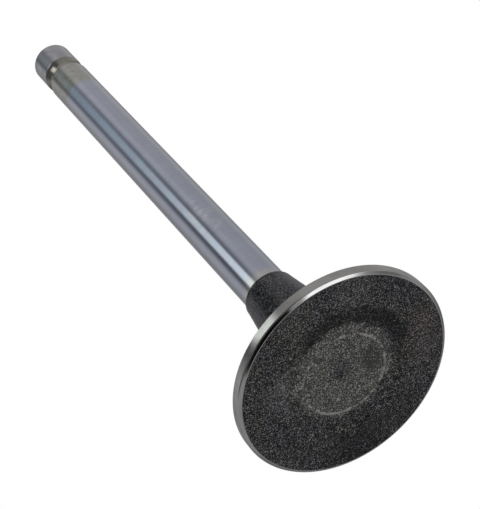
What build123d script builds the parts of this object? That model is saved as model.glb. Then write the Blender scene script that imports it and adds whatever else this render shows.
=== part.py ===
from build123d import *
from math import cos, radians, tan
import os

# Poppet valve of a four-stroke engine: one steel forging, upset at the head and then turned and ground.
# It is one solid of revolution. The gas side of the head keeps its forged skin, the rim carries a
# polished bevel, a ground margin and a 45 degree seat, and the stem ends in a round-bottomed groove
# for the two half keepers and a short hardened tip.
# The valve stands on its combustion face: the origin is the centre of that face, +Z runs up the stem.

# ---- Driving dimensions, millimetres and degrees ----

overall_length = 129.0          # combustion face to the end of the tip
head_diameter = 38.4
stem_diameter = 8.68            # the 11/32 in class of stem, as ground to run in its guide

# rim of the head, from the combustion face upwards
bevel_width = 0.58              # radial width of the polished bevel
bevel_height = 0.36
margin_height = 1.70            # ground cylindrical band between the bevel and the seat
seat_angle = 45.0               # from the plane of the head
seat_width = 1.90               # radial width of the seat face

# shallow forged dish in the middle of the combustion face
dish_depth = 0.30
dish_diameter = 24.6            # where the dish starts to sink
dish_floor_diameter = 19.4      # where it reaches its full depth
ring_diameter = 15.2            # raised witness ring on the floor of the dish
ring_width = 0.80
ring_height = 0.09
centre_mark_diameter = 4.6      # soft hollow left by the forging punch
centre_mark_depth = 0.12

# underside of the head and the forged neck
back_angle = 15.0               # back of the head, from the plane of the head
back_land = 1.85                # straight part of the back beside the seat, before the gas-flow sweep
neck_taper = 8.0                # half angle of the neck, from the stem's axis
neck_height = 25.65             # combustion face to the end of the forged neck
neck_step = 0.56                # radial step from the forged neck down to the ground stem
neck_edge_radius = 0.22         # rounded edge of that step
stem_root_radius = 0.16         # corner that the grinding wheel leaves at the foot of the step

# keeper groove and tip
groove_to_tip = 9.30            # middle of the groove to the end of the tip
groove_width = 3.60
groove_depth = 1.00
groove_edge_radius = 0.18
tip_diameter = 8.58
tip_chamfer_width = 0.55        # radial
tip_chamfer_height = 0.95       # along the stem
tip_edge_radius = 0.35

# ---- Levels and radii that follow from them ----

head_radius = head_diameter / 2
stem_radius = stem_diameter / 2
tip_radius = tip_diameter / 2
ring_radius = ring_diameter / 2
seat_start = bevel_height + margin_height
seat_end_radius = head_radius - seat_width
seat_end = seat_start + seat_width * tan(radians(seat_angle))
neck_end_radius = stem_radius + neck_step
groove_middle = overall_length - groove_to_tip
groove_bottom_radius = stem_radius - groove_depth


def underside_corner():
    """Point where the line of the neck's taper meets the line of the head's back, as (radius, height)."""
    flare = tan(radians(neck_taper))
    slope = tan(radians(back_angle))
    radius_at_seat_end = neck_end_radius + (neck_height - seat_end) * flare
    rise = slope * (seat_end_radius - radius_at_seat_end) / (1 - slope * flare)
    return radius_at_seat_end - rise * flare, seat_end + rise


def sweep_radius():
    """Radius of the gas-flow sweep that starts at the back land's end and is tangent to back and neck."""
    corner_radius = underside_corner()[0]
    back_length = (seat_end_radius - corner_radius) / cos(radians(back_angle))
    turn = 90 - back_angle - neck_taper
    return (back_length - back_land) / tan(radians(turn / 2))


def ring_bead():
    """Half-round witness ring that stands out of the dish's floor."""
    half_width = ring_width / 2
    return ThreePointArc(
        (ring_radius - half_width, dish_depth),
        (ring_radius, dish_depth - ring_height),
        (ring_radius + half_width, dish_depth),
    )


def centre_mark():
    """Soft hollow at the centre of the dish, flat on the axis."""
    mark_radius = centre_mark_diameter / 2
    return Spline(
        (0, dish_depth + centre_mark_depth),
        (mark_radius, dish_depth),
        tangents=[(1, 0), (1, 0)],
    )


def keeper_groove():
    """Round-bottomed groove, from the stem's wall to the tip's wall."""
    return ThreePointArc(
        (stem_radius, groove_middle - groove_width / 2),
        (groove_bottom_radius, groove_middle),
        (tip_radius, groove_middle + groove_width / 2),
    )


def half_section():
    """Half section of the valve, as (radius, height) from the axis round the outline and back."""
    corner = underside_corner()
    step_edge = (neck_end_radius, neck_height)
    step_root = (stem_radius, neck_height)
    tip_chamfer_start = (tip_radius, overall_length - tip_chamfer_height)
    tip_chamfer_end = (tip_radius - tip_chamfer_width, overall_length)
    with BuildSketch(Plane.XZ) as section:
        with BuildLine():
            mark = centre_mark()
            ring = ring_bead()
            groove = keeper_groove()
            Line(mark @ 1, ring @ 0)
            Polyline(
                ring @ 1,
                (dish_floor_diameter / 2, dish_depth),
                (dish_diameter / 2, 0),
                (head_radius - bevel_width, 0),
                (head_radius, bevel_height),
                (head_radius, seat_start),
                (seat_end_radius, seat_end),
                corner,
                step_edge,
                step_root,
                groove @ 0,
            )
            Polyline(groove @ 1, tip_chamfer_start, tip_chamfer_end, (0, overall_length), mark @ 0)
        make_face()
        rounded = [
            (corner, sweep_radius()),
            (step_edge, neck_edge_radius),
            (step_root, stem_root_radius),
            (groove @ 0, groove_edge_radius),
            (groove @ 1, groove_edge_radius),
            (tip_chamfer_start, tip_edge_radius),
            (tip_chamfer_end, tip_edge_radius),
        ]
        for point, radius in rounded:
            fillet(section.vertices().sort_by_distance(point)[0], radius)
    return section.sketch


def valve():
    """The half section turned about the stem's axis."""
    return revolve(half_section(), Axis.Z)


body = valve()
body.label = "valve"
print(f"valve: volume {body.volume:.1f} mm3, length {body.bounding_box().size.Z:.2f} mm")
print(f"gas-flow sweep radius {sweep_radius():.2f} mm")

os.makedirs("parts", exist_ok=True)
export_step(body, "parts/valve.step")
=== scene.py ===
# %% [markdown]
# An engine valve and its finishes
#
# The real object is one steel forging that has been turned, ground and plated. The CAD part holds its exact
# form. This notebook gives it its skins: black forged scale, ground and polished steel, a hard plated stem,
# and the few marks that handling left.
# The valve stands on its combustion face, its stem runs up +Z, and Blender counts in metres.

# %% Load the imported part
import math

import bpy
from mathutils import Matrix, Vector


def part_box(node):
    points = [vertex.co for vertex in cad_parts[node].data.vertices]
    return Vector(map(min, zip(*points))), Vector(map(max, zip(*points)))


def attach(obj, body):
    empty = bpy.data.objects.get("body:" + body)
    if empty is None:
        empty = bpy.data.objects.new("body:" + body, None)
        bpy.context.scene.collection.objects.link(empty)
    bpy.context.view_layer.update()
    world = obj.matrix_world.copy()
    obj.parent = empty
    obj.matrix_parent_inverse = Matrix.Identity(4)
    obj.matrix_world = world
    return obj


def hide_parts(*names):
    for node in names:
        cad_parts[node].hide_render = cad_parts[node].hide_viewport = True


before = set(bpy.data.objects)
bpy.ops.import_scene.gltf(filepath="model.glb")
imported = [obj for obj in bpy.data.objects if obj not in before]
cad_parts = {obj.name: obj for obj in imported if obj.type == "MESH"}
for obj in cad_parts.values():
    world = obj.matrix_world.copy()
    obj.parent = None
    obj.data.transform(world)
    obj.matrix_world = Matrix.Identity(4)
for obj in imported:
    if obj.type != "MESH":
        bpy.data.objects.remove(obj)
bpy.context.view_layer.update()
low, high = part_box("valve")
print("CAD box in metres:", [round(v, 4) for v in (*low, *high)])

# %% [markdown]
# Sizes of the valve
#
# Someone who turns valves quotes them in millimetres, so the sizes stay in millimetres and one factor takes
# them to metres. The outer radius and the length come from the part, so the skin always fits it.

# %% Sizes in millimetres
MM = 0.001

HEAD_RADIUS = high.x / MM
LENGTH = high.z / MM
STEM_RADIUS = 4.34
TIP_RADIUS = 4.29

BEVEL_WIDTH = 0.58
BEVEL_HEIGHT = 0.36
SEAT_START = 2.06
SEAT_WIDTH = 1.90
BACK_LAND = 1.85
BACK_ANGLE = math.radians(15)
NECK_TAPER = math.radians(8)
NECK_HEIGHT = 25.65
NECK_STEP = 0.56

DISH_DEPTH = 0.30
DISH_RADIUS = 12.3
DISH_FLOOR_RADIUS = 9.7
RING_RADIUS = 7.6
RING_HALF_WIDTH = 0.40
RING_HEIGHT = 0.09
MARK_RADIUS = 2.3
MARK_DEPTH = 0.12

GROOVE_MIDDLE = LENGTH - 9.3
GROOVE_HALF_WIDTH = 1.8
GROOVE_DEPTH = 1.0
TIP_CHAMFER_WIDTH = 0.55
TIP_CHAMFER_HEIGHT = 0.95

print("head", round(2 * HEAD_RADIUS, 2), "mm across, valve", round(LENGTH, 2), "mm long")

# %% [markdown]
# The camera
#
# The valve is seen from below its head, so that the combustion face fills the near end of the frame and the
# stem runs away from the eye. A long lens keeps the head from swelling. The camera is aimed at a point on
# the stem and then rolled about its own line of sight, which lays the stem across the frame.

# %% Place the camera
LENS = 114.44
FILM_WIDTH = 36
CAMERA_PLACE = Vector((0.0, -190.94, -178.20)) * MM
CAMERA_AIM = Vector((0.93, -15.93, 20.82)) * MM
CAMERA_ROLL = math.radians(-43.28)

camera_data = bpy.data.cameras.new("camera")
camera_data.lens = LENS
camera_data.sensor_width = FILM_WIDTH
camera_data.clip_start = 0.01
camera = bpy.data.objects.new("camera", camera_data)
bpy.context.scene.collection.objects.link(camera)
level = (CAMERA_AIM - CAMERA_PLACE).to_track_quat("-Z", "Y").to_matrix().to_4x4()
camera.matrix_world = Matrix.Translation(CAMERA_PLACE) @ level @ Matrix.Rotation(CAMERA_ROLL, 4, "Z")
bpy.context.scene.camera = camera
print("camera stands", round(CAMERA_PLACE.length, 3), "m from the middle of the face")

# %% [markdown]
# The outline of the valve
#
# A turner thinks in half sections: one outline from the middle of the face, round the rim, up the stem and
# back to the axis. Here it is a list of corners, each with its rounding and with the finish of the run that
# follows it. The two curved runs, the dished face and the keeper groove, are worked out by a formula.

# %% The dished face
def face_height(radius):
    """Height of the face above its rim: shallow dish, raised witness ring and soft middle mark."""
    slope = min(max((DISH_RADIUS - radius) / (DISH_RADIUS - DISH_FLOOR_RADIUS), 0), 1)
    off_ring = min(abs(radius - RING_RADIUS) / RING_HALF_WIDTH, 1)
    off_mark = min(radius / MARK_RADIUS, 1)
    dish = DISH_DEPTH * slope * slope * (3 - 2 * slope)
    return dish - RING_HEIGHT * (1 - off_ring**2) ** 2 + MARK_DEPTH * (1 - off_mark**2) ** 2


FACE_STEPS = 78
FACE_EDGE = HEAD_RADIUS - BEVEL_WIDTH
ROOM_FOR_ROUNDING = 0.12
face_run = []
for i in range(FACE_STEPS):
    radius = (FACE_EDGE - ROOM_FOR_ROUNDING) * i / (FACE_STEPS - 1)
    face_run.append((radius, face_height(radius), 0, "forged_face"))
print("face:", len(face_run), "points, dish", DISH_DEPTH, "mm deep")

# %% The underside
seat_end = SEAT_START + SEAT_WIDTH
flare = math.tan(NECK_TAPER)
back_slope = math.tan(BACK_ANGLE)
neck_line_at_seat = STEM_RADIUS + NECK_STEP + (NECK_HEIGHT - seat_end) * flare
back_rise = back_slope * (HEAD_RADIUS - SEAT_WIDTH - neck_line_at_seat) / (1 - back_slope * flare)
sweep_corner = (neck_line_at_seat - back_rise * flare, seat_end + back_rise)
back_length = (HEAD_RADIUS - SEAT_WIDTH - sweep_corner[0]) / math.cos(BACK_ANGLE)
turn = math.pi / 2 - BACK_ANGLE - NECK_TAPER
sweep_radius = (back_length - BACK_LAND) / math.tan(turn / 2)
print("gas-flow sweep between the back and the neck: radius", round(sweep_radius, 2), "mm")

# %% The keeper groove
GROOVE_STEPS = 20
groove_radius = (GROOVE_HALF_WIDTH**2 + GROOVE_DEPTH**2) / (2 * GROOVE_DEPTH)
groove_half_angle = math.asin(GROOVE_HALF_WIDTH / groove_radius)
groove_run = []
for i in range(1, GROOVE_STEPS):
    angle = groove_half_angle * (2 * i / GROOVE_STEPS - 1)
    depth = groove_radius * math.cos(angle) - groove_radius + GROOVE_DEPTH
    height = GROOVE_MIDDLE + groove_radius * math.sin(angle)
    groove_run.append((STEM_RADIUS - depth, height, 0, "turned_groove"))
print("keeper groove: radius", round(groove_radius, 2), "mm")

# %% How far each edge is rounded, in millimetres
ROUNDING = {
    "face edge": 0.24,
    "bevel": 0.30,
    "seat foot": 0.08,
    "seat head": 0.10,
    "neck edge": 0.22,
    "stem root": 0.16,
    "groove foot": 0.08,
    "groove lip": 0.12,
    "tip": 0.35,
}
print("roundest edge:", max(ROUNDING, key=ROUNDING.get))

# %% The whole outline, as (radius, height, rounding, finish of the run that follows)
outline = [
    *face_run,
    (FACE_EDGE, 0, ROUNDING["face edge"], "polished_bevel"),
    (HEAD_RADIUS, BEVEL_HEIGHT, ROUNDING["bevel"], "ground_rim"),
    (HEAD_RADIUS, SEAT_START, ROUNDING["seat foot"], "ground_rim"),
    (HEAD_RADIUS - SEAT_WIDTH, seat_end, ROUNDING["seat head"], "forged_neck"),
    (*sweep_corner, sweep_radius, "forged_neck"),
    (STEM_RADIUS + NECK_STEP, NECK_HEIGHT, ROUNDING["neck edge"], "plated_stem"),
    (STEM_RADIUS, NECK_HEIGHT, ROUNDING["stem root"], "plated_stem"),
    (STEM_RADIUS, GROOVE_MIDDLE - GROOVE_HALF_WIDTH, ROUNDING["groove foot"], "turned_groove"),
    *groove_run,
    (TIP_RADIUS, GROOVE_MIDDLE + GROOVE_HALF_WIDTH, ROUNDING["groove lip"], "ground_tip"),
    (TIP_RADIUS, LENGTH - TIP_CHAMFER_HEIGHT, ROUNDING["tip"], "ground_tip"),
    (TIP_RADIUS - TIP_CHAMFER_WIDTH, LENGTH, ROUNDING["tip"], "ground_tip"),
    (0, LENGTH, 0, "ground_tip"),
]
print("outline:", len(outline), "corners")

# %% [markdown]
# From corners to points
#
# Each rounded corner becomes an arc, and each run is cut into steps no longer than its finish needs. Forged
# skin carries real relief, so its steps are short, while the plain stem needs only a few. A guard point
# stands close to each end of a run: smooth shading then can't bleed from a round edge into the flat.

# %% Steps and guards
LONGEST_STEP = {
    "forged_face": 0.30,
    "polished_bevel": 0.40,
    "ground_rim": 0.60,
    "forged_neck": 0.45,
    "plated_stem": 6.0,
    "turned_groove": 0.30,
    "ground_tip": 1.5,
}
FINISHES = list(LONGEST_STEP)
GUARD = 0.05
SHORTEST_RUN = 0.4
ARC_STEP = math.radians(9)


def cut_run(start, end, longest_step):
    """Points between two ends of a straight run, with a guard point close to each end."""
    length = (end - start).length
    if length < SHORTEST_RUN:
        return []
    inner = length - 2 * GUARD
    steps = math.ceil(inner / longest_step)
    return [start.lerp(end, (GUARD + inner * i / steps) / length) for i in range(steps + 1)]


def round_corner(before, corner, after, rounding, longest_step):
    """Points of the arc that rounds a corner, from one tangent point to the other."""
    if rounding == 0:
        return [corner]
    to_before = (before - corner).normalized()
    to_after = (after - corner).normalized()
    half_angle = to_before.angle(to_after) / 2
    centre = corner + (to_before + to_after).normalized() * rounding / math.sin(half_angle)
    start = corner + to_before * rounding / math.tan(half_angle) - centre
    end = corner + to_after * rounding / math.tan(half_angle) - centre
    opening = start.angle(end)
    steps = max(math.ceil(opening / ARC_STEP), math.ceil(rounding * opening / longest_step))
    return [centre + start.slerp(end, i / steps).normalized() * rounding for i in range(steps + 1)]


print("a guard point stands", GUARD, "mm from each end of a run")

# %% Walk round the outline
section = [(Vector(outline[0][:2]), outline[0][3])]
for before, here, after in zip(outline, outline[1:], outline[2:]):
    last_place, last_finish = section[-1]
    corner = Vector(here[:2])
    finish = here[3]
    arc = round_corner(Vector(before[:2]), corner, Vector(after[:2]), here[2], LONGEST_STEP[finish])
    run = cut_run(last_place, arc[0], LONGEST_STEP[last_finish])
    section += [(place, last_finish) for place in run]
    section += [(place, finish) for place in arc]
last_place, last_finish = section[-1]
tip_middle = Vector(outline[-1][:2])
run = cut_run(last_place, tip_middle, LONGEST_STEP[last_finish])[:-1]
section += [(place, last_finish) for place in run]
section.append((tip_middle, last_finish))
print("half section:", len(section), "points")

# %% [markdown]
# The outline as a mesh
#
# The lathe below reads the half section from a chain of edges. Two values ride on its points: which finish
# the valve has there, and how much forged relief it may carry. Relief fades out before a ground edge, so
# that every machined edge stays crisp.

# %% Build the chain
RELIEF_FADE = 0.6


def relief_at(place, finish):
    """Full relief on forged skin, none on machined steel, and a fade between them."""
    if finish == "forged_face":
        gap = FACE_EDGE - place.x
    elif finish == "forged_neck":
        gap = min((place - Vector((HEAD_RADIUS - SEAT_WIDTH, seat_end))).length, NECK_HEIGHT - place.y)
    else:
        gap = 0
    return min(max(gap / RELIEF_FADE, 0), 1)


chain = bpy.data.meshes.new("half_section")
places = [(place.x * MM, 0, place.y * MM) for place, finish in section]
chain.from_pydata(places, [(i, i + 1) for i in range(len(places) - 1)], [])
chain.attributes.new("finish", "INT", "POINT")
chain.attributes.new("relief", "FLOAT", "POINT")
chain.attributes["finish"].data.foreach_set("value", [FINISHES.index(finish) for _, finish in section])
chain.attributes["relief"].data.foreach_set("value", [relief_at(place, finish) for place, finish in section])
valve = bpy.data.objects.new("finished_valve", chain)
bpy.context.scene.collection.objects.link(valve)
print("chain of", len(chain.edges), "edges")

# %% [markdown]
# One helper for every node
#
# Shader trees and geometry trees are built the same way: make a node, set it up, then give each input a
# value or the output of another node. One small function does that for both, and hands back an output, so
# that calls can be chained.

# %% The node helper and the colour function
def add_node(tree, kind, inputs=None, output=0, **settings):
    """Adds a node; inputs maps an input's name or number to a value or an output. Returns one output."""
    node = tree.nodes.new(kind)
    for name, value in settings.items():
        setattr(node, name, value)
    for key, value in (inputs or {}).items():
        if isinstance(value, bpy.types.NodeSocket):
            tree.links.new(value, node.inputs[key])
        else:
            node.inputs[key].default_value = value
    return node.outputs[output] if node.outputs else node


def srgb(code):
    """Linear colour of an sRGB hex code, as the sockets want it."""
    channels = [int(code[i : i + 2], 16) / 255 for i in (1, 3, 5)]
    linear = [c / 12.92 if c <= 0.04045 else ((c + 0.055) / 1.055) ** 2.4 for c in channels]
    return (*linear, 1.0)


print("a middle grey, #808080, is", round(srgb("#808080")[0], 3), "in linear light")

# %% [markdown]
# What all the finishes share
#
# Every finish reads Object coordinates, which are metres on the real valve, so a grain of 0.3 mm is 0.3 mm
# on every side of the part. Two patterns come back in each of them: mottling, which is how scale, oxide and
# handling cloud a surface, and lines round the axis, which a tool or a grinding wheel leaves.

# %% A new finish
SMOOTH = {"interpolation_type": "SMOOTHSTEP"}


def new_finish(name):
    """A material with an empty tree, and the coordinates that its patterns read."""
    material = bpy.data.materials.new(name)
    material.use_nodes = True
    tree = material.node_tree
    tree.nodes.clear()
    place = add_node(tree, "ShaderNodeTexCoord", output="Object")
    return material, tree, place


def span(start, end, low_value=0.0, high_value=1.0):
    """Inputs of a Map Range node that takes one span of values to another."""
    return {"From Min": start, "From Max": end, "To Min": low_value, "To Max": high_value}


# %% Mottling, and lines round the axis
def mottling(tree, place, size, start, end, detail=3.0):
    """Cloudy mask from 0 to 1, whose clouds have a size in millimetres."""
    inputs = {"Vector": place, "Scale": 1 / (size * MM), "Detail": detail}
    cloud = add_node(tree, "ShaderNodeTexNoise", inputs)
    return add_node(tree, "ShaderNodeMapRange", {"Value": cloud, **span(start, end)}, **SMOOTH)


def lines_round_axis(tree, place, length, spacing):
    """Value near 0.5 that runs long round the axis and changes quickly along it, sizes in millimetres."""
    scale = (1 / (length * MM), 1 / (length * MM), 1 / (spacing * MM))
    stretched = add_node(tree, "ShaderNodeMapping", {"Vector": place, "Scale": scale})
    return add_node(tree, "ShaderNodeTexNoise", {"Vector": stretched, "Scale": 1.0, "Detail": 3.0})


# %% [markdown]
# Black forging scale on the combustion face
#
# Hot steel grows a black oxide skin between the forging dies. It is a dielectric, nearly matt, with grey
# specks a few tenths of a millimetre across where the skin is thin. A Voronoi texture gives the oxide its
# crystals, each with a tone of its own, and noise gathers them into a cloudy speckle. Finer noise alone
# would look like sand, because real crystals have flat tones and sharp borders.

# %% Crystals and specks of the scale
CRYSTAL_SIZE = 0.16  # real crystals are finer; at this size they show
SPECKLE_SIZE = 0.19
CLUSTER_SIZE = 0.8
PATCH_SIZE = 2.4
CLOUD_SIZE = 6.0
SCALE_RELIEF = 0.02

face_scale, tree, place = new_finish("black_forging_scale")
patches = mottling(tree, place, PATCH_SIZE, 0.32, 0.68)
clouds = mottling(tree, place, CLOUD_SIZE, 0.36, 0.64)
clusters = mottling(tree, place, CLUSTER_SIZE, 0.28, 0.72)
speckle = mottling(tree, place, SPECKLE_SIZE, 0.26, 0.74, detail=0.0)
crystal = add_node(tree, "ShaderNodeTexVoronoi", {"Vector": place, "Scale": 1 / (CRYSTAL_SIZE * MM)}, "Color")
crystal = add_node(tree, "ShaderNodeSeparateColor", {"Color": crystal}, "Red")
grain = add_node(tree, "ShaderNodeMix", {0: 0.5, 2: speckle, 3: crystal})
grain = add_node(tree, "ShaderNodeMix", {0: 0.12, 2: grain, 3: clusters})
grain = add_node(tree, "ShaderNodeMapRange", {"Value": grain, **span(0.45, 0.94)})
print("scale: crystals of", CRYSTAL_SIZE, "mm in a speckle of", SPECKLE_SIZE, "mm")

# %% [markdown]
# Spots on the face
#
# The face is not the same all over: the punch, the dies and handling each left their spot. A spot is a
# distance from its middle, turned into a mask that ends softly. Adding a little noise to the distance makes
# the edge ragged, so that no spot looks drawn with compasses.

# %% Spots on the face
def distance_on_face(x, y):
    """Distance in millimetres from a point of the combustion face, for the finish in hand."""
    flat = add_node(tree, "ShaderNodeVectorMath", {0: place, 1: (1, 1, 0)}, operation="MULTIPLY")
    inputs = {0: flat, 1: (x * MM, y * MM, 0)}
    away = add_node(tree, "ShaderNodeVectorMath", inputs, output="Value", operation="DISTANCE")
    return add_node(tree, "ShaderNodeMath", {0: away, 1: MM}, operation="DIVIDE")


def spot_on_face(middle, reach, core, strength=1.0, wander=None):
    """Mask of a spot: nothing beyond its reach, full strength inside its core, both in millimetres."""
    away = distance_on_face(*middle)
    if wander is not None:
        away = add_node(tree, "ShaderNodeMath", {0: away, 1: wander}, operation="ADD")
    return add_node(tree, "ShaderNodeMapRange", {"Value": away, **span(reach, core, 0.0, strength)}, **SMOOTH)


# %% [markdown]
# Thick skin, and painted shade on the dish's slope
#
# Thick scale hides the steel and shows fewer specks, and a few spots of the face have it. The arc round one
# side of the dish's slope is painted shade: that side of the slope faces away from the light. Taking both
# away from the grain, before the grain becomes specks, thins the specks out and leaves the black between
# them, which a dark colour painted on top would not do.

# %% Thick skin, and painted shade on the slope
SLOPE_RADIUS = 11.2
SLOPE_REACH = 2.2
SLOPE_CORE = 0.6
SLOPE_SHADE = 0.27
# the side of the slope that is darkened with painted shade: middle in millimetres, reach and core
SHADED_SIDE_OF_SLOPE = ((8.4, -6.4), 13.5, 7.5)
SPECK_CONTRAST = 1.5
# spots of thick skin: middle in millimetres, reach, core and thickness
THICK_SPOTS = {
    "lower left": ((-6.5, 15.5), 9.5, 2.0, 0.21),
    "right of the middle": ((5.9, 1.6), 3.8, 1.0, 0.26),
    "lower right": ((3.0, 15.5), 6.0, 1.0, 0.06),
}

from_axis = distance_on_face(0, 0)
off_slope = add_node(tree, "ShaderNodeMath", {0: from_axis, 1: SLOPE_RADIUS}, operation="SUBTRACT")
off_slope = add_node(tree, "ShaderNodeMath", {0: off_slope}, operation="ABSOLUTE")
limits = span(SLOPE_REACH, SLOPE_CORE, 0.0, SLOPE_SHADE)
slope = add_node(tree, "ShaderNodeMapRange", {"Value": off_slope, **limits}, **SMOOTH)
# painted shade: the arc of the slope on that side faces away from the light and is darkened here
thickness_and_shade = add_node(tree, "ShaderNodeMath", {0: spot_on_face(*SHADED_SIDE_OF_SLOPE), 1: slope}, operation="MULTIPLY")
for spot in THICK_SPOTS.values():
    thickness_and_shade = add_node(tree, "ShaderNodeMath", {0: thickness_and_shade, 1: spot_on_face(*spot)}, operation="ADD")
specks = add_node(tree, "ShaderNodeMath", {0: grain, 1: thickness_and_shade}, operation="SUBTRACT", use_clamp=True)
specks = add_node(tree, "ShaderNodeMath", {0: specks, 1: SPECK_CONTRAST}, operation="POWER")
print("thick skin: the dish's slope,", ", ".join(THICK_SPOTS))

# %% [markdown]
# The pressed disc
#
# The punch pressed the middle of the face flat. Its disc is a lighter, warmer grey, a little off centre and
# ragged at its edge. The very middle was touched least and keeps the colour of the skin.

# %% The pressed disc
SKIN_TONES = ("#08080a", "#101011")
SPECK_TONES = ("#7b7976", "#76767c")
PRESSED_TONES = ("#2c2c2b", "#959490")
DISC = ((0.2, -0.7), 9.5, 8.5)
UNTOUCHED_MIDDLE = ((0.0, -1.0), 3.2, 0.8, 0.9)
RAGGED_BY = 1.2

dark, pale = map(srgb, SKIN_TONES)
skin = add_node(tree, "ShaderNodeMix", {0: patches, 6: dark, 7: pale}, 2, data_type="RGBA")
warm, cool = map(srgb, SPECK_TONES)
glint = add_node(tree, "ShaderNodeMix", {0: clouds, 6: warm, 7: cool}, 2, data_type="RGBA")
skin = add_node(tree, "ShaderNodeMix", {0: specks, 6: skin, 7: glint}, 2, data_type="RGBA")
dark, pale = map(srgb, PRESSED_TONES)
pressed = add_node(tree, "ShaderNodeMix", {0: specks, 6: dark, 7: pale}, 2, data_type="RGBA")

inputs = {0: patches, 1: RAGGED_BY, 2: -RAGGED_BY / 2}
wander = add_node(tree, "ShaderNodeMath", inputs, operation="MULTIPLY_ADD")
disc = spot_on_face(*DISC, wander=wander)
colour = add_node(tree, "ShaderNodeMix", {0: disc, 6: skin, 7: pressed}, 2, data_type="RGBA")
middle = spot_on_face(*UNTOUCHED_MIDDLE)
colour = add_node(tree, "ShaderNodeMix", {0: middle, 6: colour, 7: skin}, 2, data_type="RGBA")
print("pressed disc: about", DISC[1] + DISC[2], "mm across")

# %% [markdown]
# The witness ring and the wear
#
# The thin raised ring is the trace of the punch's edge. It stands proud, so it is worn bright, but only in
# places. Handling rubbed some spots of the skin lighter, and near the rim there is a trace of brown oxide.

# %% The witness ring and the wear
RING_TONE = "#a3a19b"
# spots of wear: middle in millimetres, reach, core, strength and tone
WORN_SPOTS = {
    "rubbed light": ((-10.2, -6.0), 4.2, 0.6, 0.09, "#96969c"),
    "worn by the rim": ((9.5, -13.0), 5.5, 1.5, 0.06, "#8f8f88"),
    "worn above": ((0.0, -16.0), 5.0, 1.0, 0.05, "#8f8e88"),
    "thin brown oxide": ((12.6, 6.9), 5.5, 1.0, 0.06, "#8f7d72"),
    "brown by the rim": ((15.8, 3.0), 4.0, 0.5, 0.07, "#8f7a6e"),
    "edge of the disc": ((-6.8, -7.9), 3.4, 1.0, 0.07, "#92918c"),
}

off_ring = add_node(tree, "ShaderNodeMath", {0: from_axis, 1: RING_RADIUS}, operation="SUBTRACT")
off_ring = add_node(tree, "ShaderNodeMath", {0: off_ring}, operation="ABSOLUTE")
ring = add_node(tree, "ShaderNodeMapRange", {"Value": off_ring, **span(0.34, 0.06)}, **SMOOTH)
worn = add_node(tree, "ShaderNodeMapRange", {"Value": clouds, **span(0.1, 0.9, 0.05, 0.52)}, **SMOOTH)
worn = add_node(tree, "ShaderNodeMath", {0: worn, 1: clusters}, operation="MULTIPLY")
ring = add_node(tree, "ShaderNodeMath", {0: ring, 1: worn}, operation="MULTIPLY")
colour = add_node(tree, "ShaderNodeMix", {0: ring, 6: colour, 7: srgb(RING_TONE)}, 2, data_type="RGBA")

speckled = add_node(tree, "ShaderNodeMapRange", {"Value": grain, **span(0, 1, 0.5, 2.0)})
for *spot, tone in WORN_SPOTS.values():
    inputs = {0: spot_on_face(*spot, wander=wander), 1: speckled}
    mark = add_node(tree, "ShaderNodeMath", inputs, operation="MULTIPLY", use_clamp=True)
    colour = add_node(tree, "ShaderNodeMix", {0: mark, 6: colour, 7: srgb(tone)}, 2, data_type="RGBA")
print("wear on the face:", ", ".join(WORN_SPOTS))

# %% Shade the scale
# the grain breaks up the gloss of the oxide, so that little of it is left
bump = add_node(tree, "ShaderNodeBump", {"Height": grain, "Strength": 0.5, "Distance": SCALE_RELIEF * MM})
inputs = {"Base Color": colour, "Roughness": 0.55, "Specular IOR Level": 0.06, "Normal": bump}
shader = add_node(tree, "ShaderNodeBsdfPrincipled", inputs)
add_node(tree, "ShaderNodeOutputMaterial", {"Surface": shader})
print(face_scale.name, "has", len(tree.nodes), "nodes")

# %% [markdown]
# Blasted scale on the neck
#
# Under the head the skin was shot-blasted, which leaves it smoother, with a soft dark sheen like a cast-iron
# pan. A metallic shader in near black gives that sheen. A metal turns white where the eye grazes it, and
# scale doesn't, so the specular tint holds its edges back.

# %% Blasted scale
BLAST_GRIT = 0.25
blasted_scale, tree, place = new_finish("blasted_scale")
grit = mottling(tree, place, BLAST_GRIT, 0.44, 0.74, detail=2.0)
patches = mottling(tree, place, 1.8, 0.32, 0.68)
dark, pale = srgb("#1b1b1d"), srgb("#252527")
skin = add_node(tree, "ShaderNodeMix", {0: patches, 6: dark, 7: pale}, 2, data_type="RGBA")
skin = add_node(tree, "ShaderNodeMix", {0: grit, 6: skin, 7: srgb("#686867")}, 2, data_type="RGBA")
rough = add_node(tree, "ShaderNodeMapRange", {"Value": grit, **span(0, 1, 0.20, 0.28)})
relief = add_node(tree, "ShaderNodeMath", {0: grit, 1: patches}, operation="ADD")
bump = add_node(tree, "ShaderNodeBump", {"Height": relief, "Strength": 0.6, "Distance": SCALE_RELIEF * MM})
inputs = {"Base Color": skin, "Metallic": 1.0, "Roughness": rough, "Specular Tint": srgb("#e9e9ee")}
shader = add_node(tree, "ShaderNodeBsdfPrincipled", {**inputs, "Normal": bump})
add_node(tree, "ShaderNodeOutputMaterial", {"Surface": shader})
print(blasted_scale.name, "has grit of", BLAST_GRIT, "mm")

# %% [markdown]
# Bright steel: polished, ground and turned
#
# The bright zones differ in three things only: their grey, how sharp their reflections are, and how deep
# the fine lines are that the wheel or the tool left round the axis. One function makes them all. Real lines
# lie a few hundredths of a millimetre apart, and here they are drawn a tenth apart, so that they show. The
# groove's upper corner also gets painted shade, partly oily soil, which starts at a height on the stem and
# thickens over a millimetre.

# %% Bright steel
LINE_LENGTH = 14.0
SHADE_AND_SOIL_FADE = 1.2
SHADE_AND_SOIL_TONE = "#4b463c"


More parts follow.
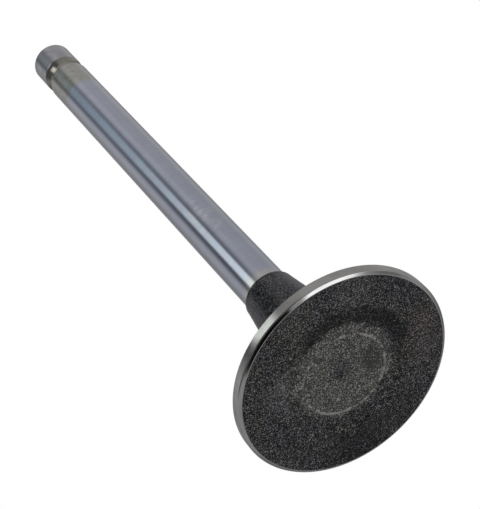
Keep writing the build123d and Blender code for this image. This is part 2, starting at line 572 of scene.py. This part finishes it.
def bright_steel(name, grey, stain, stain_size, roughness, line_spacing, line_depth, shade_and_soil_from=None):
    """Metal with lines round the axis and soft stains of a second grey, sizes in millimetres."""
    material, tree, place = new_finish(name)
    stains = mottling(tree, place, stain_size, 0.35, 0.70)
    lines = lines_round_axis(tree, place, LINE_LENGTH, line_spacing)
    colour = add_node(tree, "ShaderNodeMix", {0: stains, 6: srgb(grey), 7: srgb(stain)}, 2, data_type="RGBA")
    shade = add_node(tree, "ShaderNodeMapRange", {"Value": lines, **span(0.3, 0.7, 0.92, 1.06)})
    colour = add_node(tree, "ShaderNodeVectorMath", {0: colour, "Scale": shade}, operation="SCALE")
    # painted shade, partly oily soil: the recess corner is darkened from the given height up
    if shade_and_soil_from:
        up = add_node(tree, "ShaderNodeSeparateXYZ", {0: place}, 2)
        limits = span(shade_and_soil_from * MM, (shade_and_soil_from + SHADE_AND_SOIL_FADE) * MM, 0.0, 0.32)
        shade_and_soil = add_node(tree, "ShaderNodeMapRange", {"Value": up, **limits}, **SMOOTH)
        inputs = {0: shade_and_soil, 6: colour, 7: srgb(SHADE_AND_SOIL_TONE)}
        colour = add_node(tree, "ShaderNodeMix", inputs, 2, data_type="RGBA")
    limits = span(0, 1, roughness * 0.85, roughness * 1.2)
    rough = add_node(tree, "ShaderNodeMapRange", {"Value": stains, **limits})
    bump = add_node(tree, "ShaderNodeBump", {"Height": lines, "Strength": 0.3, "Distance": line_depth * MM})
    inputs = {"Base Color": colour, "Metallic": 1.0, "Roughness": rough, "Normal": bump}
    shader = add_node(tree, "ShaderNodeBsdfPrincipled", inputs)
    add_node(tree, "ShaderNodeOutputMaterial", {"Surface": shader})
    return material


# %% The four bright zones
# each as grey, stain, size of the stains, roughness, spacing and depth of the lines, and where the painted
# shade and soil start
polished_steel = bright_steel("polished_steel", "#868687", "#7e7e7d", 3.0, 0.10, 0.10, 0.001)
ground_steel = bright_steel("ground_steel", "#878685", "#7e7c79", 2.5, 0.20, 0.12, 0.004)
# the groove's upper corner is darkened with painted shade, partly oily soil, from 119.8 mm up
turned_steel = bright_steel("turned_steel", "#878581", "#7b7871", 1.2, 0.20, 0.15, 0.004, 119.8)
hardened_tip_steel = bright_steel("hardened_tip_steel", "#88888c", "#7c7b83", 2.2, 0.22, 0.10, 0.002)
print("bright zones:", polished_steel.name, ground_steel.name, turned_steel.name, hardened_tip_steel.name)

# %% [markdown]
# Hard chrome on the stem
#
# The stem is plated so that it slides in its guide. Chrome is smooth and faintly violet beside the bare
# steel, which shows at both ends of the plating as a warmer, blotchy grey. The plating's ends are not cut
# by a tool, so their edges are soft and wander a little.

# %% Where the plating begins and ends
PLATING_BEGINS = (27.0, 29.4)
PLATING_ENDS = (109.6, 109.2)
PLATING_WANDERS = 0.8

hard_chrome, tree, place = new_finish("hard_chrome")
up = add_node(tree, "ShaderNodeSeparateXYZ", {0: place}, 2)
wander = add_node(tree, "ShaderNodeTexNoise", {"Vector": place, "Scale": 1 / (2.5 * MM), "Detail": 2.0})
inputs = {0: wander, 1: PLATING_WANDERS * MM, 2: up}
up = add_node(tree, "ShaderNodeMath", inputs, operation="MULTIPLY_ADD")
begins, full = PLATING_BEGINS
begun = add_node(tree, "ShaderNodeMapRange", {"Value": up, **span(begins * MM, full * MM)}, **SMOOTH)
ends, full = PLATING_ENDS
not_ended = add_node(tree, "ShaderNodeMapRange", {"Value": up, **span(ends * MM, full * MM)}, **SMOOTH)
plated = add_node(tree, "ShaderNodeMath", {0: begun, 1: not_ended}, operation="MULTIPLY")
print("plated from about", PLATING_BEGINS[0], "to", PLATING_ENDS[1], "mm")

# %% Chrome, with the pale scuffs that a guide rubbed into it
CHROME_TONES = ("#8b8f9b", "#898b98")
SCUFF_TONE = "#9c9ca2"
SCUFFED_AT = (0.9, -4.2, 48.5)
SCUFFED_SHAPE = (1, 1, 0.3)

haze = mottling(tree, place, 3.5, 0.35, 0.65)
first, second = map(srgb, CHROME_TONES)
chrome = add_node(tree, "ShaderNodeMix", {0: haze, 6: first, 7: second}, 2, data_type="RGBA")
flattened = add_node(tree, "ShaderNodeVectorMath", {0: place, 1: SCUFFED_SHAPE}, operation="MULTIPLY")
inputs = {0: flattened, 1: [v * flat * MM for v, flat in zip(SCUFFED_AT, SCUFFED_SHAPE)]}
away = add_node(tree, "ShaderNodeVectorMath", inputs, output="Value", operation="DISTANCE")
scuffed = add_node(tree, "ShaderNodeMapRange", {"Value": away, **span(3.0 * MM, 1.0 * MM)}, **SMOOTH)
scuffs = lines_round_axis(tree, place, 1.8, 1.1)
scuffs = add_node(tree, "ShaderNodeMapRange", {"Value": scuffs, **span(0.46, 0.66)}, **SMOOTH)
scuffed = add_node(tree, "ShaderNodeMath", {0: scuffed, 1: scuffs}, operation="MULTIPLY")
scuffed = add_node(tree, "ShaderNodeMath", {0: scuffed, 1: 0.85}, operation="MULTIPLY")
chrome = add_node(tree, "ShaderNodeMix", {0: scuffed, 6: chrome, 7: srgb(SCUFF_TONE)}, 2, data_type="RGBA")
print("scuffs about", SCUFFED_AT[2], "mm up the stem")

# %% Bare steel at both ends of the plating
HEAD_END_TONE = "#979798"
TIP_END_TONE = "#898885"
STAIN_TONE = "#74716b"

towards_tip = add_node(tree, "ShaderNodeMapRange", {"Value": up, **span(30 * MM, 100 * MM)})
inputs = {0: towards_tip, 6: srgb(HEAD_END_TONE), 7: srgb(TIP_END_TONE)}
bare = add_node(tree, "ShaderNodeMix", inputs, 2, data_type="RGBA")
stains = mottling(tree, place, 1.5, 0.38, 0.66)
stained = add_node(tree, "ShaderNodeMath", {0: stains, 1: towards_tip}, operation="MULTIPLY")
stained = add_node(tree, "ShaderNodeMath", {0: stained, 1: 0.5}, operation="MULTIPLY")
bare = add_node(tree, "ShaderNodeMix", {0: stained, 6: bare, 7: srgb(STAIN_TONE)}, 2, data_type="RGBA")
colour = add_node(tree, "ShaderNodeMix", {0: plated, 6: bare, 7: chrome}, 2, data_type="RGBA")
print("bare steel goes from", HEAD_END_TONE, "by the head to", TIP_END_TONE, "by the tip")

# %% Shade the stem
lines = lines_round_axis(tree, place, LINE_LENGTH, 0.3)
shade = add_node(tree, "ShaderNodeMapRange", {"Value": lines, **span(0.3, 0.7, 0.96, 1.04)})
colour = add_node(tree, "ShaderNodeVectorMath", {0: colour, "Scale": shade}, operation="SCALE")
rough = add_node(tree, "ShaderNodeMapRange", {"Value": plated, **span(0, 1, 0.18, 0.14)})
bump = add_node(tree, "ShaderNodeBump", {"Height": lines, "Strength": 0.2, "Distance": 0.0002 * MM})
inputs = {"Base Color": colour, "Metallic": 1.0, "Roughness": rough, "Normal": bump}
shader = add_node(tree, "ShaderNodeBsdfPrincipled", inputs)
add_node(tree, "ShaderNodeOutputMaterial", {"Surface": shader})
print(hard_chrome.name, "has", len(tree.nodes), "nodes")

# %% One material for each finish
materials = {
    "forged_face": face_scale,
    "polished_bevel": polished_steel,
    "ground_rim": ground_steel,
    "forged_neck": blasted_scale,
    "plated_stem": hard_chrome,
    "turned_groove": turned_steel,
    "ground_tip": hardened_tip_steel,
}
print("finishes:", ", ".join(material.name for material in materials.values()))

# %% [markdown]
# The lathe, as Geometry Nodes
#
# A turned part is its half section carried round the axis. The tree makes a flat grid with one column for
# each point of the half section and one row for each step round, and then moves every grid point to its
# place: the column picks radius and height, the row picks the angle. That keeps each corner exactly where
# the half section has it, which a swept curve with even spacing would not.

# %% Open the lathe tree and name its inputs
lathe = bpy.data.node_groups.new("lathe", "GeometryNodeTree")
lathe.is_modifier = True
lathe.interface.new_socket("Geometry", in_out="OUTPUT", socket_type="NodeSocketGeometry")
lathe.interface.new_socket("Half section", in_out="INPUT", socket_type="NodeSocketGeometry")
LATHE_SETTINGS = {
    "Steps round": ("NodeSocketInt", 320),
    "Pit depth": ("NodeSocketFloat", 0.06 * MM),
    "Pit size": ("NodeSocketFloat", 0.9 * MM),
}
socket_ids = {}
for label, (kind, value) in LATHE_SETTINGS.items():
    socket_ids[label] = lathe.interface.new_socket(label, in_out="INPUT", socket_type=kind).identifier
given = add_node(lathe, "NodeGroupInput").node.outputs
print("lathe inputs:", ", ".join(LATHE_SETTINGS))

# %% The grid, and which column and row each of its points is in
points = add_node(lathe, "GeometryNodeAttributeDomainSize", {0: given["Half section"]}, "Point Count")
rows = add_node(lathe, "ShaderNodeMath", {0: given["Steps round"], 1: 1.0}, operation="ADD")
sheet = add_node(lathe, "GeometryNodeMeshGrid", {"Vertices X": points, "Vertices Y": rows})
index = add_node(lathe, "GeometryNodeInputIndex")
half_index = add_node(lathe, "ShaderNodeMath", {0: index, 1: 0.5}, operation="ADD")
column = add_node(lathe, "ShaderNodeMath", {0: half_index, 1: rows}, operation="DIVIDE")
column = add_node(lathe, "ShaderNodeMath", {0: column}, operation="FLOOR")
row = add_node(lathe, "ShaderNodeMath", {0: index, 1: rows}, operation="MODULO")
strip = add_node(lathe, "ShaderNodeMath", {0: half_index, 1: given["Steps round"]}, operation="DIVIDE")
strip = add_node(lathe, "ShaderNodeMath", {0: strip}, operation="FLOOR")


def read_half_section(field, at, kind):
    """Value of the half section at one of its points."""
    inputs = {"Geometry": given["Half section"], "Value": field, "Index": at}
    return add_node(lathe, "GeometryNodeSampleIndex", inputs, data_type=kind)


# %% Carry the half section round the axis
WELD_DISTANCE = 0.001

here = read_half_section(add_node(lathe, "GeometryNodeInputPosition"), column, "FLOAT_VECTOR")
radius_and_height = add_node(lathe, "ShaderNodeSeparateXYZ", {0: here}).node.outputs
angle = add_node(lathe, "ShaderNodeMath", {0: row, 1: given["Steps round"]}, operation="DIVIDE")
angle = add_node(lathe, "ShaderNodeMath", {0: angle, 1: -math.tau}, operation="MULTIPLY")
cosine = add_node(lathe, "ShaderNodeMath", {0: angle}, operation="COSINE")
sine = add_node(lathe, "ShaderNodeMath", {0: angle}, operation="SINE")
x = add_node(lathe, "ShaderNodeMath", {0: radius_and_height[0], 1: cosine}, operation="MULTIPLY")
y = add_node(lathe, "ShaderNodeMath", {0: radius_and_height[0], 1: sine}, operation="MULTIPLY")
turned_place = add_node(lathe, "ShaderNodeCombineXYZ", {0: x, 1: y, 2: radius_and_height[2]})

finish = add_node(lathe, "GeometryNodeInputNamedAttribute", {"Name": "finish"}, data_type="INT")
finish = read_half_section(finish, strip, "INT")
inputs = {"Geometry": sheet, "Name": "finish", "Value": finish}
sheet = add_node(lathe, "GeometryNodeStoreNamedAttribute", inputs, data_type="INT", domain="FACE")
relief = add_node(lathe, "GeometryNodeInputNamedAttribute", {"Name": "relief"}, data_type="FLOAT")
relief = read_half_section(relief, column, "FLOAT")
inputs = {"Geometry": sheet, "Name": "relief", "Value": relief}
sheet = add_node(lathe, "GeometryNodeStoreNamedAttribute", inputs, data_type="FLOAT", domain="POINT")
turned = add_node(lathe, "GeometryNodeSetPosition", {"Geometry": sheet, "Position": turned_place})
inputs = {"Geometry": turned, "Distance": WELD_DISTANCE * MM}
closed = add_node(lathe, "GeometryNodeMergeByDistance", inputs)
print("lathe tree so far:", len(lathe.nodes), "nodes")

# %% [markdown]
# Forged relief, and a finish for every face
#
# The scale has shallow pits. Each point of a forged zone sinks along its normal by a few hundredths of a
# millimetre of noise, so nothing stands proud of the true form. Then each finish goes on its own faces.

# %% Sink the pits
relief = add_node(lathe, "GeometryNodeInputNamedAttribute", {"Name": "relief"}, data_type="FLOAT")
fineness = add_node(lathe, "ShaderNodeMath", {0: 1.0, 1: given["Pit size"]}, operation="DIVIDE")
pits = add_node(lathe, "ShaderNodeTexNoise", {"Scale": fineness, "Detail": 2.0})
depth = add_node(lathe, "ShaderNodeMath", {0: pits, 1: relief}, operation="MULTIPLY")
depth = add_node(lathe, "ShaderNodeMath", {0: depth, 1: given["Pit depth"]}, operation="MULTIPLY")
inwards = add_node(lathe, "ShaderNodeMath", {0: depth, 1: -1.0}, operation="MULTIPLY")
normal = add_node(lathe, "GeometryNodeInputNormal")
offset = add_node(lathe, "ShaderNodeVectorMath", {0: normal, "Scale": inwards}, operation="SCALE")
pitted = add_node(lathe, "GeometryNodeSetPosition", {"Geometry": closed, "Offset": offset})
smooth = add_node(lathe, "GeometryNodeSetShadeSmooth", {"Geometry": pitted})
whole = add_node(lathe, "GeometryNodeRealizeInstances", {"Geometry": smooth})

# %% Set the materials and close the tree
finish = add_node(lathe, "GeometryNodeInputNamedAttribute", {"Name": "finish"}, data_type="INT")
for number, name in enumerate(FINISHES):
    settings = {"data_type": "INT", "operation": "EQUAL"}
    chosen = add_node(lathe, "FunctionNodeCompare", {2: finish, 3: number}, **settings)
    inputs = {"Geometry": whole, "Selection": chosen, "Material": materials[name]}
    whole = add_node(lathe, "GeometryNodeSetMaterial", inputs)
add_node(lathe, "NodeGroupOutput", {0: whole})
print("lathe tree:", len(lathe.nodes), "nodes")

# %% Turn the valve and keep the result as a plain mesh
turning = valve.modifiers.new("turning", "NODES")
turning.node_group = lathe
for label, (kind, value) in LATHE_SETTINGS.items():
    turning[socket_ids[label]] = value
result = valve.evaluated_get(bpy.context.evaluated_depsgraph_get())
valve_mesh = bpy.data.meshes.new_from_object(result)
valve.modifiers.remove(turning)
valve.data = valve_mesh
bpy.data.meshes.remove(chain)
valve_mesh.calc_loop_triangles()
print("turned valve:", len(valve_mesh.loop_triangles), "triangles,", len(valve_mesh.materials), "finishes")

# %% Tie the skin to the part
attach(valve, "root")
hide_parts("valve")
print(valve.name, "rides on root")

# %% [markdown]
# The studio
#
# Bright metal shows its room more than itself. The room is pale all round, and cards hang in it: a strip
# light draws the blue line down the stem, dark flags beside it sharpen the line, lifts and darker sides
# shape the greys of the stem and the margin, and a soft box with a dark card beside it lights the bevel.
# The cards are patches of the world, placed by compass direction and by height above the horizon in
# degrees, so nothing else has to stand in the scene. They turn with the room and not with the camera. Past
# the valve the camera sees plain white.

# %% Directions of the room
world = bpy.data.worlds.new("studio")
bpy.context.scene.world = world
world.use_nodes = True
room = world.node_tree
room.nodes.clear()
direction = add_node(room, "ShaderNodeTexCoord", output="Generated")
across = add_node(room, "ShaderNodeSeparateXYZ", {0: direction}).node.outputs
towards = add_node(room, "ShaderNodeMath", {0: across[1], 1: -1.0}, operation="MULTIPLY")
compass = add_node(room, "ShaderNodeMath", {0: across[0], 1: towards}, operation="ARCTAN2")
compass = add_node(room, "ShaderNodeMath", {0: compass}, operation="DEGREES")
rise = add_node(room, "ShaderNodeMath", {0: across[2]}, operation="ARCSINE")
rise = add_node(room, "ShaderNodeMath", {0: rise}, operation="DEGREES")


def soft_window(value, centre, half_width, edge):
    """One near a direction in degrees and zero away from it, with a soft edge; it wraps at 180."""
    away = add_node(room, "ShaderNodeMath", {0: value, 1: centre}, operation="SUBTRACT")
    away = add_node(room, "ShaderNodeMath", {0: away, 1: 180.0, 2: -180.0}, operation="WRAP")
    away = add_node(room, "ShaderNodeMath", {0: away}, operation="ABSOLUTE")
    limits = span(half_width + edge / 2, half_width - edge / 2)
    return add_node(room, "ShaderNodeMapRange", {"Value": away, **limits}, **SMOOTH)


print("directions of the room:", len(room.nodes), "nodes")

# %% Hang the cards, each as compass (centre, half width, edge), height (the same) and radiance
ROOM_RADIANCE = 0.85
CARDS = {
    "far end": ((-174, 61, 50), (46, 60, 20), (0.39, 0.39, 0.39)),
    "right side": ((100, 25, 40), (45, 40, 20), (0.74, 0.74, 0.74)),
    "high left": ((-100, 30, 20), (74, 16, 6), (0.48, 0.48, 0.48)),
    "left lift": ((-86, 10, 24), (54, 10, 12), (0.88, 0.88, 0.88)),
    "right lift": ((27, 12, 24), (56, 9, 12), (1.02, 1.02, 1.02)),
    "left flag": ((-50, 17, 25), (55, 26, 16), (0.20, 0.21, 0.22)),
    "right flag": ((-22, 28, 22), (53, 6.5, 3), (0.24, 0.25, 0.26)),
    "low front": ((-34.5, 49.5, 14), (-12, 44, 14), (0.28, 0.28, 0.28)),
    "dark side": ((-38.5, 45.5, 12), (-66, 16, 10), (0.012, 0.012, 0.012)),
    "glow": ((-27, 24.5, 34), (55.5, 3.5, 4), (0.60, 0.72, 0.78)),
    "strip light": ((-27.5, 15.8, 12), (43.2, 7.3, 12), (2.54, 2.70, 2.58)),
    "top flag": ((-35, 28, 20), (82, 22, 4), (0.08, 0.08, 0.08)),
    "soft box": ((62, 27, 16), (-60, 15, 6), (3.9, 3.9, 3.9)),
    "low flag": ((110, 11, 14), (-37, 9, 12), (0.50, 0.50, 0.50)),
    "low lift": ((100, 22, 16), (-10, 10, 10), (1.25, 1.25, 1.25)),
}
radiance = (ROOM_RADIANCE, ROOM_RADIANCE, ROOM_RADIANCE, 1.0)
for sideways, upright, light in CARDS.values():
    windows = {0: soft_window(compass, *sideways), 1: soft_window(rise, *upright)}
    card = add_node(room, "ShaderNodeMath", windows, operation="MULTIPLY")
    radiance = add_node(room, "ShaderNodeMix", {0: card, 6: radiance, 7: (*light, 1)}, 2, data_type="RGBA")
print("cards:", ", ".join(CARDS))

# %% Show plain white past the valve
seen = add_node(room, "ShaderNodeLightPath", output="Is Camera Ray")
radiance = add_node(room, "ShaderNodeMix", {0: seen, 6: radiance, 7: (1, 1, 1, 1)}, 2, data_type="RGBA")
background = add_node(room, "ShaderNodeBackground", {"Color": radiance, "Strength": 1.0})
add_node(room, "ShaderNodeOutputWorld", {"Surface": background})
print("studio tree:", len(room.nodes), "nodes")

# %% [markdown]
# The floor
#
# A pale disc under the valve catches its shadow and fades into the white. It shows only from above; from
# below it is clear, as a glass table would be.

# %% Cut the floor
FLOOR_RADIUS = 450
FLOOR_SINK = 0.1
FLOOR_SIDES = 96

floor_mesh = bpy.data.meshes.new("floor")
corners = []
for i in range(FLOOR_SIDES):
    angle = math.tau * i / FLOOR_SIDES
    corners.append(Vector((FLOOR_RADIUS * math.cos(angle), FLOOR_RADIUS * math.sin(angle), -FLOOR_SINK)) * MM)
floor_mesh.from_pydata(corners, [], [range(FLOOR_SIDES)])
floor = bpy.data.objects.new("floor", floor_mesh)
bpy.context.scene.collection.objects.link(floor)
print("floor:", 2 * FLOOR_RADIUS, "mm across")

# %% Cover it with paper that fades out
PAPER_TONE = "#f2f2f2"
PAPER_FADES = (60, 420)

paper, tree, place = new_finish("floor_paper")
inputs = {"Base Color": srgb(PAPER_TONE), "Roughness": 1.0, "Specular IOR Level": 0.0}
matt = add_node(tree, "ShaderNodeBsdfPrincipled", inputs)
reach = add_node(tree, "ShaderNodeVectorMath", {0: place}, output="Value", operation="LENGTH")
limits = span(PAPER_FADES[0] * MM, PAPER_FADES[1] * MM)
fade = add_node(tree, "ShaderNodeMapRange", {"Value": reach, **limits}, **SMOOTH)
under = add_node(tree, "ShaderNodeNewGeometry", output="Backfacing")
clear = add_node(tree, "ShaderNodeMath", {0: fade, 1: under}, operation="MAXIMUM")
nothing = add_node(tree, "ShaderNodeBsdfTransparent")
blended = add_node(tree, "ShaderNodeMixShader", {0: clear, 1: matt, 2: nothing})
add_node(tree, "ShaderNodeOutputMaterial", {"Surface": blended})
floor_mesh.materials.append(paper)
floor.visible_diffuse = False
floor.visible_glossy = False
floor.visible_transmission = False
floor.visible_shadow = False
print("paper fades from", PAPER_FADES[0], "to", PAPER_FADES[1], "mm")

# %% [markdown]
# Lamps
#
# Two wide, soft lamps give the matt scale some form and put the valve's shadow on the floor. The polished
# zones don't mirror them, because the cards already do that work. A third, small panel is for the keeper
# groove alone: it stands near the groove and shines in a narrow cone, so that only the groove's upper flank
# mirrors it as a round spot.

# %% Hang two soft lamps, with places and sizes in metres
def soft_lamp(name, place, size, power):
    """Square lamp that faces the middle of the combustion face and stays out of reflections."""
    data = bpy.data.lights.new(name, "AREA")
    data.size = size
    data.energy = power
    lamp = bpy.data.objects.new(name, data)
    lamp.location = place
    lamp.rotation_euler = (-Vector(place)).to_track_quat("-Z", "Y").to_euler()
    lamp.visible_glossy = False
    bpy.context.scene.collection.objects.link(lamp)
    print(name, "lamp:", power, "W")


soft_lamp("key", (-0.35, -0.30, 0.55), 0.25, 2.0)
soft_lamp("raking", (0.42, -0.24, -0.12), 0.10, 0.6)

# %% Stand the panel by the keeper groove
PANEL_COMPASS = math.radians(-25)
PANEL_RISE = math.radians(8)
PANEL_DISTANCE = 100
PANEL_WIDTH = 46
PANEL_HEIGHT = 106
PANEL_CONE = math.radians(80)
PANEL_POWER = 0.009

panel_data = bpy.data.lights.new("tip_panel", "AREA")
panel_data.shape = "RECTANGLE"
panel_data.size = PANEL_WIDTH * MM
panel_data.size_y = PANEL_HEIGHT * MM
panel_data.spread = PANEL_CONE
panel_data.energy = PANEL_POWER
panel = bpy.data.objects.new("tip_panel", panel_data)
away = Vector((math.sin(PANEL_COMPASS), -math.cos(PANEL_COMPASS), math.tan(PANEL_RISE)))
panel.location = (Vector((0, -STEM_RADIUS, GROOVE_MIDDLE)) + PANEL_DISTANCE * away) * MM
panel.rotation_euler = away.to_track_quat("Z", "Y").to_euler()
panel.visible_diffuse = False
panel.visible_camera = False
bpy.context.scene.collection.objects.link(panel)
print("tip panel:", PANEL_POWER, "W,", PANEL_DISTANCE, "mm from the groove")

# %% Colour management
bpy.context.scene.view_settings.view_transform = "Standard"
